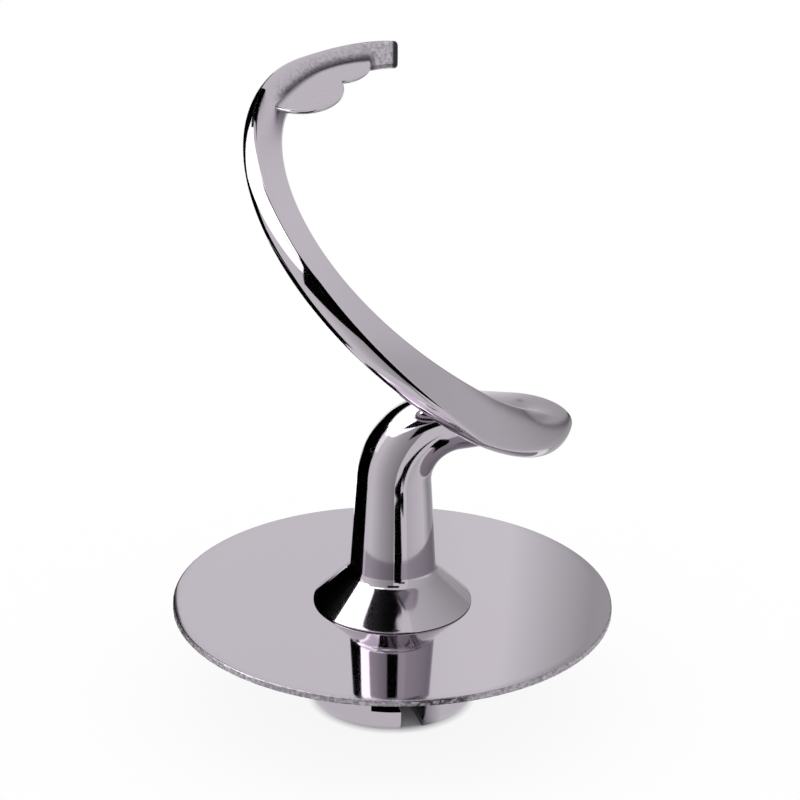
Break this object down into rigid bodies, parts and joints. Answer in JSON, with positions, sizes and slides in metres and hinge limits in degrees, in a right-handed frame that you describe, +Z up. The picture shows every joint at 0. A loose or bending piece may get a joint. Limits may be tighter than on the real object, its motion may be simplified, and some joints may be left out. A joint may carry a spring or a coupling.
{
  "type": "dough hook",
  "caption": "Polished spiral dough hook for a stand mixer, with a flat round guard above its hub and a bayonet shaft socket; it kneads dough as the mixer turns it.",
  "frame": {"origin": "centre of the hub's mouth, on the flat rim that the part stands on", "axes": "+Z up the hub's axis from the socket's mouth to the hook, +X towards the hook's straight bar, +Y away from the picture's viewer"},
  "size_m": [0.1, 0.1, 0.1493],
  "materials": {
    "cast_steel": "polished casting with a satin flat face and a rough as-cast tip",
    "sheet_steel": "mirror-polished sheet with a grainy sheared edge"
  },
  "bodies": {
    "root": {"dough_hook": "cast_steel", "dough_guard": "sheet_steel"}
  },
  "joints": []
}
